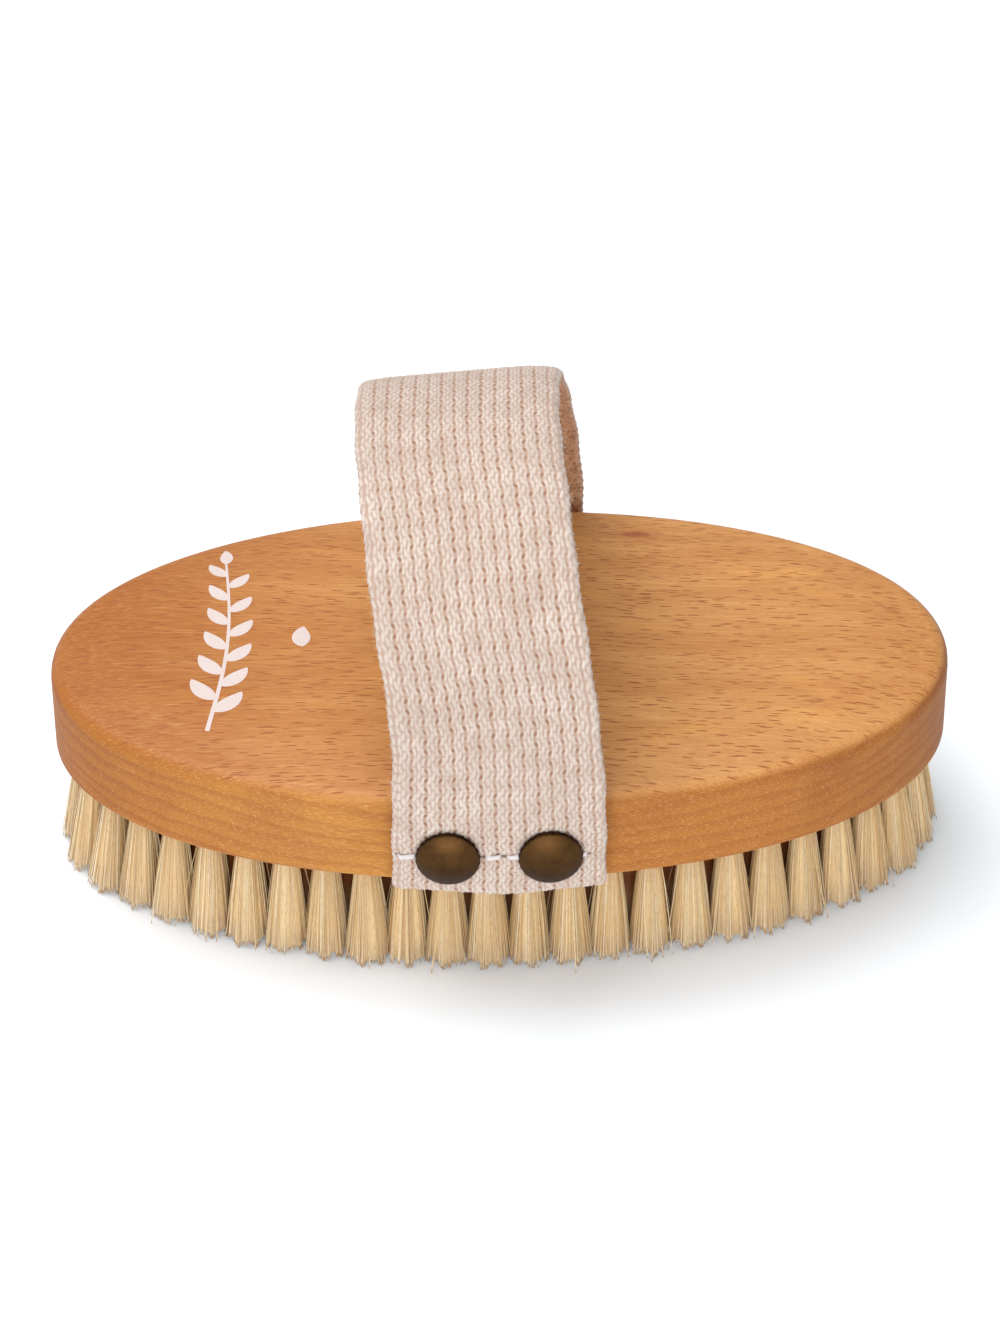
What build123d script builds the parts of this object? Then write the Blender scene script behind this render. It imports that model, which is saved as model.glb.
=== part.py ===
from build123d import *
import math
import os

# Oval body brush: a beech block with blind-drilled tufts of plant fibre and a webbing hand
# strap nailed to its front and rear walls.
# Millimetres. X runs along the oval, -Y is the front, +Z is up. The brush stands on its
# bristle tips at Z = 0, with the origin under the middle of the block.

# ---------------------------------------------------------------- driving dimensions
BLOCK_LENGTH = 135.0
BLOCK_WIDTH = 73.0
BLOCK_THICKNESS = 16.0
OVAL_POWER = 2.08            # 2 is an ellipse; a little more fills its shoulders
OVAL_POINTS = 48             # points that the oval's smooth outline is drawn through
TOP_ROLL_OFF_WIDTH = 10.0    # the flat top falls gently towards the rim over this width
TOP_ROLL_OFF_DROP = 1.3
RIM_RADIUS = 2.6
PLATEAU_BLEND_RADIUS = 30.0
UNDERSIDE_RADIUS = 1.0

BRISTLE_LENGTH = 19.5        # free length, from the block's underside to the tips
HOLE_RADIUS = 1.6
HOLE_DEPTH = 7.0
TUFT_CLEARANCE = 0.05        # between the packed fibres and the hole's wall
END_INSET = 5.0              # from the block's ends to the outer ring of hole centres
SIDE_INSET = 6.2             # the same, from its front and rear
RING_PITCH = 6.05            # from one ring to the next
SIDE_SPLAY_SHARE = 0.2       # tufts lean out less at the front and rear than at the ends

ANCHOR_WIDTH = 4.0           # flat wire, wider than the hole, so its ends bite the wood
ANCHOR_HEIGHT = 1.4
ANCHOR_THICKNESS = 0.3
ANCHOR_COVER = 1.2           # fibre folded over the anchor's top edge

STRAP_WIDTH = 31.0
WEB_THICKNESS = 2.0
STRAP_CENTRE_X = -1.2
HEM_HEIGHT = 10.0            # the strap's end is turned under by this much
WALL_GAP = 0.05              # between the hem and the wood
TAB_TOP_GAP = 0.3            # between the nailed tab and the free loop
HINGE_ABOVE_UNDERSIDE = 13.8
LOOP_RISE = 44.0             # outer height of the loop above the hinge line
LOOP_REST_LEAN = 7.0         # degrees towards -X
LOOP_MOST_LEAN = 22.5        # degrees either way that the loop's feet leave room for
TRIM_MARGIN = 1.0            # how far the tool that trims the feet reaches past the webbing

NAIL_SPACING = 14.4
NAIL_ABOVE_UNDERSIDE = 8.2
CAP_RADIUS = 4.75
CAP_HEIGHT = 2.2
CAP_SHEET = 0.4
CAP_RIM_HEIGHT = 0.9
PIN_RADIUS = 0.8
PIN_LENGTH = 15.0
PIN_POINT = 3.0
PIN_TIP_RADIUS = 0.05
PIN_HEAD_RADIUS = 3.9
PIN_HEAD_THICKNESS = 0.4
PIN_CLEARANCE = 0.02

STITCH_COUNT = 9
STITCH_PITCH = 3.05
STITCH_FIRST = -13.1         # first stitch's middle, from the strap's centre line
STITCH_LENGTH = 2.4
STITCH_THREAD = 0.5
STITCH_DEPTH = 3.2
STITCH_PIN_GAP = 0.1
STITCH_SLOT_LIFT = 0.4

# Each ring: name, oval it lies on (0 is the outermost), tufts, outward splay at the tips
# and tip radius.
RINGS = [
    ("outer_ring", 0, 50, 1.9, 2.6),
    ("second_ring", 1, 44, 1.3, 2.6),
    ("third_ring", 2, 38, 0.9, 2.6),
    ("fourth_ring", 3, 32, 0.6, 2.45),
    ("fifth_ring", 4, 24, 0.3, 2.2),
]
CENTRE_ROW_TUFTS = 7
CENTRE_ROW_TIP_RADIUS = 2.3

LEVEL_TOLERANCE = 0.01       # how near an edge's height is to the one asked for

# ---------------------------------------------------------------- derived places
UNDERSIDE_Z = BRISTLE_LENGTH
TOP_Z = UNDERSIDE_Z + BLOCK_THICKNESS
RIM_Z = TOP_Z - TOP_ROLL_OFF_DROP
HINGE_Z = UNDERSIDE_Z + HINGE_ABOVE_UNDERSIDE
TAB_TOP_Z = HINGE_Z - TAB_TOP_GAP
NAIL_Z = UNDERSIDE_Z + NAIL_ABOVE_UNDERSIDE
TAB_FACE = WALL_GAP + 2 * WEB_THICKNESS   # strap's outer face, out from the wall


# ---------------------------------------------------------------- the oval
def oval_point(angle, inset=0.0):
    """Point and outward normal of the block's oval, moved in along its normal."""
    half_x = BLOCK_LENGTH / 2
    half_y = BLOCK_WIDTH / 2
    c, s = math.cos(angle), math.sin(angle)
    x = half_x * math.copysign(abs(c) ** (2 / OVAL_POWER), c)
    y = half_y * math.copysign(abs(s) ** (2 / OVAL_POWER), s)
    nx = math.copysign(abs(x / half_x) ** (OVAL_POWER - 1), x) / half_x
    ny = math.copysign(abs(y / half_y) ** (OVAL_POWER - 1), y) / half_y
    size = math.hypot(nx, ny)
    normal = Vector(nx / size, ny / size)
    return Vector(x, y) - normal * inset, normal


def oval_face(inset, z):
    """Flat face bounded by the oval, at height z."""
    turns = [2 * math.pi * i / OVAL_POINTS for i in range(OVAL_POINTS)]
    points = [oval_point(turn, inset)[0] + Vector(0, 0, z) for turn in turns]
    return make_face(Spline(*points, periodic=True))


def wall_location(x, out):
    """On the front wall at x, moved out from the wood; local +Z points away from it."""
    angle = -math.acos(math.copysign(abs(2 * x / BLOCK_LENGTH) ** (OVAL_POWER / 2), x))
    point, normal = oval_point(angle, -out)
    return Location(Plane(point, x_dir=(-normal.Y, normal.X, 0), z_dir=normal))


# ---------------------------------------------------------------- tufts and their anchors
def tuft_places(ring_index, count):
    """Hole centres evenly spaced round a ring, each with its outward direction."""
    inwards = ring_index * RING_PITCH
    ring = Ellipse(
        BLOCK_LENGTH / 2 - END_INSET - inwards, BLOCK_WIDTH / 2 - SIDE_INSET - inwards
    ).edge()
    places = []
    for i in range(count):
        tangent = ring % (i / count)
        places.append((ring @ (i / count), Vector(tangent.Y, -tangent.X)))
    return places


def centre_row_places():
    """The row of tufts inside the innermost ring."""
    first = -(CENTRE_ROW_TUFTS - 1) / 2 * RING_PITCH
    return [(Vector(first + i * RING_PITCH, 0), Vector(0, 0)) for i in range(CENTRE_ROW_TUFTS)]


def anchor(place, outward):
    """Flat piece of wire, across the hole and along its ring."""
    tilt = math.degrees(math.atan2(outward.Y, outward.X)) + 90 if outward.length else 0
    z = UNDERSIDE_Z + HOLE_DEPTH - ANCHOR_COVER - ANCHOR_HEIGHT / 2
    box = Box(ANCHOR_WIDTH, ANCHOR_THICKNESS, ANCHOR_HEIGHT)
    return Pos(place.X, place.Y, z) * Rot(0, 0, tilt) * box


def tuft(place, outward, splay, tip_radius):
    """Bundle of fibres: packed in its hole, then flaring and leaning out to flat-cut tips."""
    radius = HOLE_RADIUS - TUFT_CLEARANCE
    packed = Pos(place.X, place.Y, UNDERSIDE_Z) * Cylinder(
        radius, HOLE_DEPTH, align=(Align.CENTER, Align.CENTER, Align.MIN)
    )
    root = Pos(place.X, place.Y, UNDERSIDE_Z) * Circle(radius)
    tip_centre = place + Vector(outward.X, outward.Y * SIDE_SPLAY_SHARE) * splay
    tip = Pos(tip_centre.X, tip_centre.Y, 0) * Circle(tip_radius)
    return packed + loft([tip, root], ruled=True) - anchor(place, outward)


def bristle_rings():
    """Every ring's tufts and anchors by name, and the tools that cut their holes."""
    layouts = [(name, tuft_places(k, count), splay, tip) for name, k, count, splay, tip in RINGS]
    layouts.append(("centre_row", centre_row_places(), 0.0, CENTRE_ROW_TIP_RADIUS))
    nodes = {}
    holes = []
    for name, places, splay, tip_radius in layouts:
        nodes[f"{name}_tufts"] = [tuft(p, out, splay, tip_radius) for p, out in places]
        nodes[f"{name}_anchors"] = [anchor(p, out) for p, out in places]
        for place, out in places:
            hole = Pos(place.X, place.Y, UNDERSIDE_Z) * Cylinder(
                HOLE_RADIUS, HOLE_DEPTH, align=(Align.CENTER, Align.CENTER, Align.MIN)
            )
            holes.append(hole + anchor(place, out))
    return nodes, holes


# ---------------------------------------------------------------- block
def brush_block(hole_tools):
    """Turned beech block with a softly falling top, rounded rim and blind holes."""
    wall = extrude(oval_face(0, UNDERSIDE_Z), RIM_Z - UNDERSIDE_Z)
    crown = loft([oval_face(0, RIM_Z), oval_face(TOP_ROLL_OFF_WIDTH, TOP_Z)], ruled=True)
    block = wall + crown
    block = fillet(block.edges().sort_by(Axis.Z)[-1], PLATEAU_BLEND_RADIUS)
    block = fillet(edge_at(block, RIM_Z), RIM_RADIUS)
    block = fillet(edge_at(block, UNDERSIDE_Z), UNDERSIDE_RADIUS)
    return block - hole_tools


def edge_at(block, z):
    """The block's closed edge at height z."""
    for edge in block.edges():
        if edge.is_closed and abs(edge.center().Z - z) < LEVEL_TOLERANCE:
            return edge
    raise ValueError(f"the block has no closed edge at height {z}")


# ---------------------------------------------------------------- strap
def strap_tab():
    """Nailed end on the front wall: the webbing with its hem folded under it."""
    hem_top = UNDERSIDE_Z + HEM_HEIGHT
    doubled = wall_layer(WALL_GAP, TAB_FACE, UNDERSIDE_Z, hem_top)
    single = wall_layer(WALL_GAP + WEB_THICKNESS, TAB_FACE, hem_top, TAB_TOP_Z)
    return doubled + single


def wall_layer(inner, outer, low, high):
    """Layer that follows the front wall, from inner to outer off the wood."""
    ring = extrude(oval_face(-outer, low) - oval_face(-inner, low), high - low)
    keep = Pos(STRAP_CENTRE_X, -BLOCK_WIDTH / 2, (low + high) / 2) * Box(
        STRAP_WIDTH, BLOCK_WIDTH, high - low
    )
    return ring & keep


def strap_loop():
    """Free arch of webbing between the two tabs, leaning on the hinge line at rest."""
    outer_y = BLOCK_WIDTH / 2 + TAB_FACE
    arch = Ellipse(outer_y, LOOP_RISE) - Ellipse(outer_y - WEB_THICKNESS, LOOP_RISE - WEB_THICKNESS)
    band = extrude(Plane.YZ * arch, STRAP_WIDTH / 2, both=True)
    reach = STRAP_WIDTH / 2 + TRIM_MARGIN
    low = reach * math.tan(math.radians(LOOP_MOST_LEAN))
    high = LOOP_RISE + TRIM_MARGIN
    above_feet = Plane.XZ * Polygon(
        (0, 0), (reach, low), (reach, high), (-reach, high), (-reach, low), align=None
    )
    band = band & extrude(above_feet, BLOCK_WIDTH, both=True)
    return Pos(STRAP_CENTRE_X, 0, HINGE_Z) * Rot(0, -LOOP_REST_LEAN, 0) * band


# ---------------------------------------------------------------- nails and stitches
def dome_arc(radius, low, high):
    """Arc from the axis at height high out to the radius at height low."""
    centre = (high**2 - low**2 - radius**2) / (2 * (high - low))
    sphere_radius = high - centre
    middle = centre + math.sqrt(sphere_radius**2 - (radius / 2) ** 2)
    return ThreePointArc((0, high), (radius / 2, middle), (radius, low))


def nail_cap():
    """Domed cap of thin sheet whose rim is folded in under the pin's head."""
    inner_radius = CAP_RADIUS - CAP_SHEET
    fold_radius = PIN_HEAD_RADIUS - CAP_SHEET
    folded_rim = Polyline(
        (inner_radius, CAP_RIM_HEIGHT),
        (inner_radius, CAP_SHEET),
        (fold_radius, CAP_SHEET),
        (fold_radius, 0),
        (CAP_RADIUS, 0),
        (CAP_RADIUS, CAP_RIM_HEIGHT),
    )
    section = make_face(
        [
            dome_arc(CAP_RADIUS, CAP_RIM_HEIGHT, CAP_HEIGHT),
            Line((0, CAP_HEIGHT), (0, CAP_HEIGHT - CAP_SHEET)),
            dome_arc(inner_radius, CAP_RIM_HEIGHT, CAP_HEIGHT - CAP_SHEET),
            folded_rim,
        ]
    )
    return revolve(Plane.XZ * section, Axis.Z)


def nail_pin():
    """Pin with a flat head that the cap is folded round, its point at the far end."""
    down = (Align.CENTER, Align.CENTER, Align.MAX)
    head = Pos(0, 0, CAP_SHEET) * Cylinder(
        PIN_HEAD_RADIUS, PIN_HEAD_THICKNESS, align=(Align.CENTER, Align.CENTER, Align.MIN)
    )
    straight = PIN_LENGTH - PIN_POINT
    shank = Pos(0, 0, CAP_SHEET) * Cylinder(PIN_RADIUS, straight, align=down)
    point = Pos(0, 0, CAP_SHEET - straight) * Cone(
        PIN_TIP_RADIUS, PIN_RADIUS, PIN_POINT, align=down
    )
    return head + shank + point


def nail_locations():
    """Where the front nails stand on the strap's outer face."""
    offsets = [-NAIL_SPACING / 2, NAIL_SPACING / 2]
    return [
        Pos(0, 0, NAIL_Z) * wall_location(STRAP_CENTRE_X + offset, TAB_FACE) for offset in offsets
    ]


def nail_bore():
    """Space that a pin needs in the strap and the block."""
    return Pos(0, 0, CAP_SHEET) * Cylinder(
        PIN_RADIUS + PIN_CLEARANCE, PIN_LENGTH, align=(Align.CENTER, Align.CENTER, Align.MAX)
    )


def hem_stitches(lift=0.0):
    """Row of stitches across the front hem, each a staple of thread sunk into the webbing.

    The nails go through the same row, so no stitch is left where a pin passes. A lift makes
    the tools that cut the stitches' slots in the strap, open at its face.
    """
    stitches = []
    for i in range(STITCH_COUNT):
        offset = STITCH_FIRST + i * STITCH_PITCH
        from_pin = abs(abs(offset) - NAIL_SPACING / 2)
        if from_pin > STITCH_LENGTH / 2 + PIN_RADIUS + STITCH_PIN_GAP:
            place = Pos(0, 0, NAIL_Z) * wall_location(STRAP_CENTRE_X + offset, TAB_FACE)
            stitches.append(place * thread_staple(lift))
    return stitches


def thread_staple(lift):
    """One stitch: a short run of thread level with the face and its two ends going in."""
    down = (Align.CENTER, Align.CENTER, Align.MAX)
    run_height = STITCH_THREAD + lift
    staple = Pos(0, 0, lift) * Box(STITCH_LENGTH, STITCH_THREAD, run_height, align=down)
    for side in (-1, 1):
        leg = Box(STITCH_THREAD, STITCH_THREAD, STITCH_DEPTH, align=down)
        staple += Pos(side * (STITCH_LENGTH - STITCH_THREAD) / 2, 0, 0) * leg
    return staple


# ---------------------------------------------------------------- assembly
def write(node, solids):
    """One STEP file per node, holding its separate solids."""
    plain = [solid for shape in solids for solid in shape.solids()]
    export_step(Compound(children=plain), f"parts/{node}.step")
    print(node, len(plain), "solids")


def strap_fixings():
    """Front tab, stitches, caps and pins by name, and the bores that the pins need."""
    bores = [place * nail_bore() for place in nail_locations()]
    slots = hem_stitches(STITCH_SLOT_LIFT)
    pieces = {
        "strap_{}_tab": [strap_tab() - bores - slots],
        "{}_hem_stitches": hem_stitches(),
        "{}_nail_caps": [place * nail_cap() for place in nail_locations()],
        "{}_nail_pins": [place * nail_pin() for place in nail_locations()],
    }
    return pieces, bores


def main():
    os.makedirs("parts", exist_ok=True)
    nodes, holes = bristle_rings()
    pieces, bores = strap_fixings()
    for name, solids in pieces.items():
        nodes[name.format("front")] = solids
        nodes[name.format("rear")] = [mirror(solid, about=Plane.XZ) for solid in solids]
    holes += bores + [mirror(bore, about=Plane.XZ) for bore in bores]
    nodes["strap_loop"] = [strap_loop()]
    nodes["brush_block"] = [brush_block(holes)]
    for node, solids in nodes.items():
        write(node, solids)


main()
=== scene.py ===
"""Looks of the oval body brush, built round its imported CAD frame. Metres, +Z up, -Y is the front."""
import math

import bmesh
import bpy
import numpy as np
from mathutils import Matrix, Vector
from mathutils.bvhtree import BVHTree


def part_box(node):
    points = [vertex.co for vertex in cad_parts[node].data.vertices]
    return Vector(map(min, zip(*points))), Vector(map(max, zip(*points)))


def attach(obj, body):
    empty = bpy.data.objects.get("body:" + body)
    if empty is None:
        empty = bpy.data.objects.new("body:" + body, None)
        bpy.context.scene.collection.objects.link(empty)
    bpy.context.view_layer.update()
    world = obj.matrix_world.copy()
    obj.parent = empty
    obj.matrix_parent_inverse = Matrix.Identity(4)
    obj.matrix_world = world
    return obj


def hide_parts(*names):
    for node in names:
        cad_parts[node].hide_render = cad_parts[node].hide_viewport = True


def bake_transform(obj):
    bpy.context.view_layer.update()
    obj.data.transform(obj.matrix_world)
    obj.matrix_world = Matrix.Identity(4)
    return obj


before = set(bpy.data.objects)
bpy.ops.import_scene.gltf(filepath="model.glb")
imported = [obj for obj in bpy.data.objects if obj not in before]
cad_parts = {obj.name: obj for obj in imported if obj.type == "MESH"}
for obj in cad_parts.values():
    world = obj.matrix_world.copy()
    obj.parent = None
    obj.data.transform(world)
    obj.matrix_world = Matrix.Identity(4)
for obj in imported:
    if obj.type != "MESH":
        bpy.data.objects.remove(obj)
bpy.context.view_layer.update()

MM = 0.001
SEED = 20

# ------------ places read from the frame
BLOCK_LOW, BLOCK_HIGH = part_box("brush_block")
TAB_LOW, TAB_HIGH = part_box("strap_front_tab")
UNDERSIDE_Z = BLOCK_LOW.z
BLOCK_TOP_Z = BLOCK_HIGH.z
HINGE_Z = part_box("strap_loop")[0].z
STRAP_X = (TAB_LOW.x + TAB_HIGH.x) / 2
STRAP_WIDTH = TAB_HIGH.x - TAB_LOW.x
HALF_LENGTH = (BLOCK_HIGH.x - BLOCK_LOW.x) / 2
HALF_WIDTH = (BLOCK_HIGH.y - BLOCK_LOW.y) / 2
KNOT = (22 * MM, 27 * MM, BLOCK_TOP_Z)

# ------------ camera
CAMERA_DISTANCE = 0.685
CAMERA_ELEVATION = math.radians(38.0)
CAMERA_AZIMUTH = math.radians(-1.4)
CAMERA_ROLL = math.radians(-0.34)
CAMERA_TARGET = Vector((0, 0, BLOCK_TOP_Z - 4.7 * MM))
SENSOR_WIDTH = 36.0
LENS = 163.5


def make_camera():
    """Long lens looking down on the brush's front."""
    level = math.cos(CAMERA_ELEVATION)
    back = Vector((
        math.sin(CAMERA_AZIMUTH) * level,
        -math.cos(CAMERA_AZIMUTH) * level,
        math.sin(CAMERA_ELEVATION),
    ))
    data = bpy.data.cameras.new("camera")
    data.sensor_fit = "HORIZONTAL"
    data.sensor_width = SENSOR_WIDTH
    data.lens = LENS
    data.clip_start = 0.01
    camera = bpy.data.objects.new("camera", data)
    bpy.context.scene.collection.objects.link(camera)
    camera.location = CAMERA_TARGET + back * CAMERA_DISTANCE
    camera.rotation_euler = (-back).to_track_quat("-Z", "Y").to_euler()
    camera.rotation_euler.rotate_axis("Z", CAMERA_ROLL)
    bpy.context.scene.camera = camera


# ------------ studio
LAMPS = {  # place, width and depth, power
    "key": ((-0.24, 0.14, 0.80), (0.75, 0.75), 6.7),
    "front": ((-0.05, -0.85, 0.26), (0.8, 0.4), 4.4),
}
SKY_STRENGTH = 0.46
FLOOR_HALF_SIZE = 3.0
FLOOR_GLOW = 0.125  # keeps the shadow pale and neutral


def area_light(name, place, size, power):
    """Rectangular lamp that faces the middle of the block's top."""
    data = bpy.data.lights.new(name, "AREA")
    data.shape = "RECTANGLE"
    data.size, data.size_y = size
    data.energy = power
    light = bpy.data.objects.new(name, data)
    bpy.context.scene.collection.objects.link(light)
    light.location = place
    facing = Vector((0, 0, BLOCK_TOP_Z)) - Vector(place)
    light.rotation_euler = facing.to_track_quat("-Z", "Y").to_euler()


def make_studio():
    """Pale floor, bright even surroundings and two broad lamps."""
    bpy.context.scene.view_settings.view_transform = "Standard"
    world = bpy.data.worlds.new("studio")
    bpy.context.scene.world = world
    world.use_nodes = True
    background = world.node_tree.nodes["Background"]
    background.inputs["Color"].default_value = (1.0, 0.99, 0.98, 1)
    background.inputs["Strength"].default_value = SKY_STRENGTH
    for name, (place, size, power) in LAMPS.items():
        area_light(name, place, size, power)
    mesh = bpy.data.meshes.new("floor")
    half = FLOOR_HALF_SIZE
    corners = [(-half, -half, 0), (half, -half, 0), (half, half, 0), (-half, half, 0)]
    mesh.from_pydata(corners, [], [(0, 1, 2, 3)])
    floor = bpy.data.objects.new("floor", mesh)
    bpy.context.scene.collection.objects.link(floor)
    paint = Shader("pale_floor", roughness=0.9)
    paint.set("Base Color", (0.92, 0.955, 0.98, 1))
    paint.set("Emission Color", (0.55, 0.78, 1.0, 1))
    paint.set("Emission Strength", FLOOR_GLOW)
    mesh.materials.append(paint.material)


# ------------ node helpers
class Shader:
    """A material with a Principled shader, and short calls that add and join its nodes."""

    def __init__(self, name, **values):
        self.material = bpy.data.materials.new(name)
        self.material.use_nodes = True
        self.tree = self.material.node_tree
        self.principled = self.tree.nodes["Principled BSDF"]
        self.place = self.add("ShaderNodeTexCoord").outputs["Object"]
        self.colour = None
        for socket, value in values.items():
            self.set(socket.replace("_", " ").title(), value)

    def set(self, socket, value):
        self.join(value, self.principled.inputs[socket])

    def join(self, value, socket):
        """Link or set a socket, or leave it alone when the value is None."""
        if isinstance(value, bpy.types.NodeSocket):
            self.tree.links.new(value, socket)
        elif value is not None:
            socket.default_value = value

    def add(self, kind, inputs=(), **settings):
        node = self.tree.nodes.new(kind)
        for name, value in settings.items():
            setattr(node, name, value)
        for key, value in dict(inputs).items():
            self.join(value, node.inputs[key])
        return node

    def math(self, operation, a, b=None):
        return self.add("ShaderNodeMath", {0: a, 1: b}, operation=operation).outputs[0]

    def plus(self, a, b):
        return self.math("ADD", a, b)

    def minus(self, a, b):
        return self.math("SUBTRACT", a, b)

    def times(self, a, b):
        return self.math("MULTIPLY", a, b)

    def scaled(self, size, vector=None):
        """Coordinates counted in cells of the given size in metres, along each axis."""
        factor = tuple(1 / s for s in size)
        vector = self.place if vector is None else vector
        node = self.add("ShaderNodeVectorMath", {0: vector, 1: factor}, operation="MULTIPLY")
        return node.outputs[0]

    def noise(self, size, detail=2.0, rough=0.5, vector=None):
        inputs = {"Vector": self.scaled(size, vector), "Scale": 1.0, "Detail": detail,
                  "Roughness": rough}
        return self.add("ShaderNodeTexNoise", inputs).outputs["Fac"]

    def cells(self, size, vector=None):
        inputs = {"Vector": self.scaled(size, vector), "Scale": 1.0}
        return self.add("ShaderNodeTexVoronoi", inputs).outputs["Distance"]

    def axes(self, vector):
        return self.add("ShaderNodeSeparateXYZ", {0: vector}).outputs

    def ramp(self, value, low, high, end=1.0, start=0.0):
        """Eases from start to end as the value goes from low to high."""
        inputs = {"Value": value, "From Min": low, "From Max": high, "To Min": start, "To Max": end}
        return self.add("ShaderNodeMapRange", inputs, interpolation_type="SMOOTHSTEP").outputs[0]

    def mix(self, share, a, b):
        """Colour a turning into colour b as share goes from 0 to 1."""
        node = self.add("ShaderNodeMix", data_type="RGBA")
        self.join(share, node.inputs["Factor"])
        self.join(a, node.inputs["A"])
        self.join(b, node.inputs["B"])
        return node.outputs["Result"]

    def stain(self, share, *screen):
        """Lay a share of one more screen colour over the colour so far."""
        self.colour = self.mix(share, self.colour, srgb(*screen))

    def attribute(self, name):
        return self.add("ShaderNodeAttribute", attribute_name=name).outputs["Fac"]

    def bump(self, height, distance, strength):
        inputs = {"Height": height, "Distance": distance, "Strength": strength}
        return self.add("ShaderNodeBump", inputs).outputs["Normal"]


def srgb(*screen):
    """Red, green and blue given as 0 to 255 screen values, as linear light."""
    linear = []
    for value in screen:
        share = value / 255
        linear.append(share / 12.92 if share <= 0.04045 else ((share + 0.055) / 1.055) ** 2.4)
    return (*linear, 1)


# ------------ materials
GROWTH_LAYER = 2.5 * MM


def beech():
    """Oiled beech: growth layers lie nearly flat, rays run up through them, fibres run along X."""
    m = Shader("beech", coat_weight=0.03, coat_roughness=0.38)
    x, y, z = m.axes(m.place)
    # shares that are 1 on the top, on the wall and on the wall's end grain
    facing = m.axes(m.add("ShaderNodeNewGeometry").outputs["Normal"])
    top = m.ramp(facing[2], 0.45, 0.85)
    wall = m.minus(1.0, top)
    end = m.times(m.ramp(m.math("ABSOLUTE", facing[0]), 0.25, 0.9), wall)

    # coordinates that run with the grain
    drift = m.noise((70 * MM, 26 * MM, 30 * MM))
    across = m.plus(y, m.times(x, 0.07))
    across = m.plus(across, m.times(drift, 7 * MM))
    grain = m.add("ShaderNodeCombineXYZ", {0: x, 1: across, 2: z}).outputs[0]

    # broad zones of colour, redder and darker to the left, partly the wood's tone and partly painted
    # shade
    zones = m.noise((48 * MM, 9 * MM, 30 * MM), detail=3, rough=0.6, vector=grain)
    m.colour = m.mix(m.ramp(zones, 0.30, 0.70), srgb(193, 133, 73), srgb(208, 152, 90))
    side = m.mix(m.ramp(zones, 0.34, 0.64), srgb(150, 85, 28), srgb(184, 120, 46))
    side = m.mix(m.ramp(x, 25 * MM, -30 * MM, 0.35), side, srgb(208, 150, 72))
    side = m.mix(m.ramp(x, -15 * MM, 30 * MM, 0.32), side, srgb(144, 76, 24))
    m.colour = m.mix(wall, m.colour, side)
    gold = m.noise((26 * MM, 7 * MM, 20 * MM), vector=grain)
    m.stain(m.ramp(gold, 0.58, 0.74, 0.5), 232, 170, 88)
    m.stain(m.times(end, 0.6), 146, 88, 30)
    # painted shade: darkens and reddens the left end, partly the wood's own tone
    red_tone_and_shade = m.mix(wall, srgb(158, 84, 16), srgb(158, 88, 12))
    from_left = m.plus(x, m.times(wall, 16 * MM))
    m.colour = m.mix(m.ramp(from_left, -6 * MM, -62 * MM, 0.82), m.colour, red_tone_and_shade)

    # growth layers, plainest on the wall and its end grain
    wander = m.noise((55 * MM, 20 * MM, 9 * MM), detail=3)
    arch = m.times(m.times(y, y), 3.6)
    depth = m.plus(m.plus(z, arch), m.times(wander, 8 * MM))
    layer = m.math("FRACT", m.math("DIVIDE", depth, GROWTH_LAYER))
    late = m.times(m.ramp(layer, 0.30, 0.92), m.ramp(layer, 1.0, 0.93))
    layer_share = m.plus(0.10, m.times(wall, 0.24))
    layer_share = m.plus(layer_share, m.times(end, 0.42))
    m.stain(m.times(late, layer_share), 140, 74, 26)

    # coarse and fine fibres
    fibres = m.noise((11 * MM, 0.34 * MM, 0.34 * MM), detail=4, rough=0.62, vector=grain)
    m.stain(m.ramp(fibres, 0.46, 0.70, 0.24), 184, 110, 54)
    m.stain(m.ramp(fibres, 0.46, 0.28, 0.22), 238, 184, 116)
    lines = m.noise((5 * MM, 0.15 * MM, 0.15 * MM), vector=grain)
    m.stain(m.ramp(lines, 0.50, 0.72, 0.32), 160, 92, 42)
    m.stain(m.ramp(lines, 0.48, 0.30, 0.25), 236, 184, 118)

    # dark rays and pores on the top, pale flecks and dark specks on the wall
    rays = m.cells((3.9 * MM, 0.44 * MM, 9 * MM), vector=grain)
    dash = m.times(m.ramp(rays, 0.30, 0.21), m.times(top, 0.82))
    m.stain(dash, 150, 80, 36)
    short = m.cells((1.5 * MM, 0.30 * MM, 5 * MM), vector=grain)
    m.stain(m.times(m.ramp(short, 0.28, 0.14), m.times(top, 0.3)), 150, 84, 42)
    slope = m.plus(x, m.times(z, 0.35))
    upright = m.add("ShaderNodeCombineXYZ", {0: slope, 1: y, 2: z}).outputs[0]
    flecks = m.cells((1.2 * MM, 2.2 * MM, 17 * MM), vector=upright)
    m.stain(m.times(m.ramp(flecks, 0.13, 0.05), m.times(wall, 0.18)), 232, 178, 118)
    stipple = m.noise((0.5 * MM, 0.5 * MM, 0.35 * MM))
    speck = m.times(m.ramp(stipple, 0.52, 0.72), m.times(wall, 0.32))
    m.stain(speck, 150, 92, 48)

    # a small knot with a faint halo
    knot = m.add("ShaderNodeVectorMath", {0: m.place, 1: KNOT}, operation="SUBTRACT").outputs[0]
    from_knot = m.scaled((2.6 * MM, 0.95 * MM, 5 * MM), knot)
    reach = m.add("ShaderNodeVectorMath", {0: from_knot}, operation="LENGTH").outputs["Value"]
    m.stain(m.ramp(reach, 2.2, 0.7, 0.35), 176, 100, 56)
    m.stain(m.ramp(reach, 1.0, 0.6, 0.75), 160, 84, 50)
    m.set("Base Color", m.colour)

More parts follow.
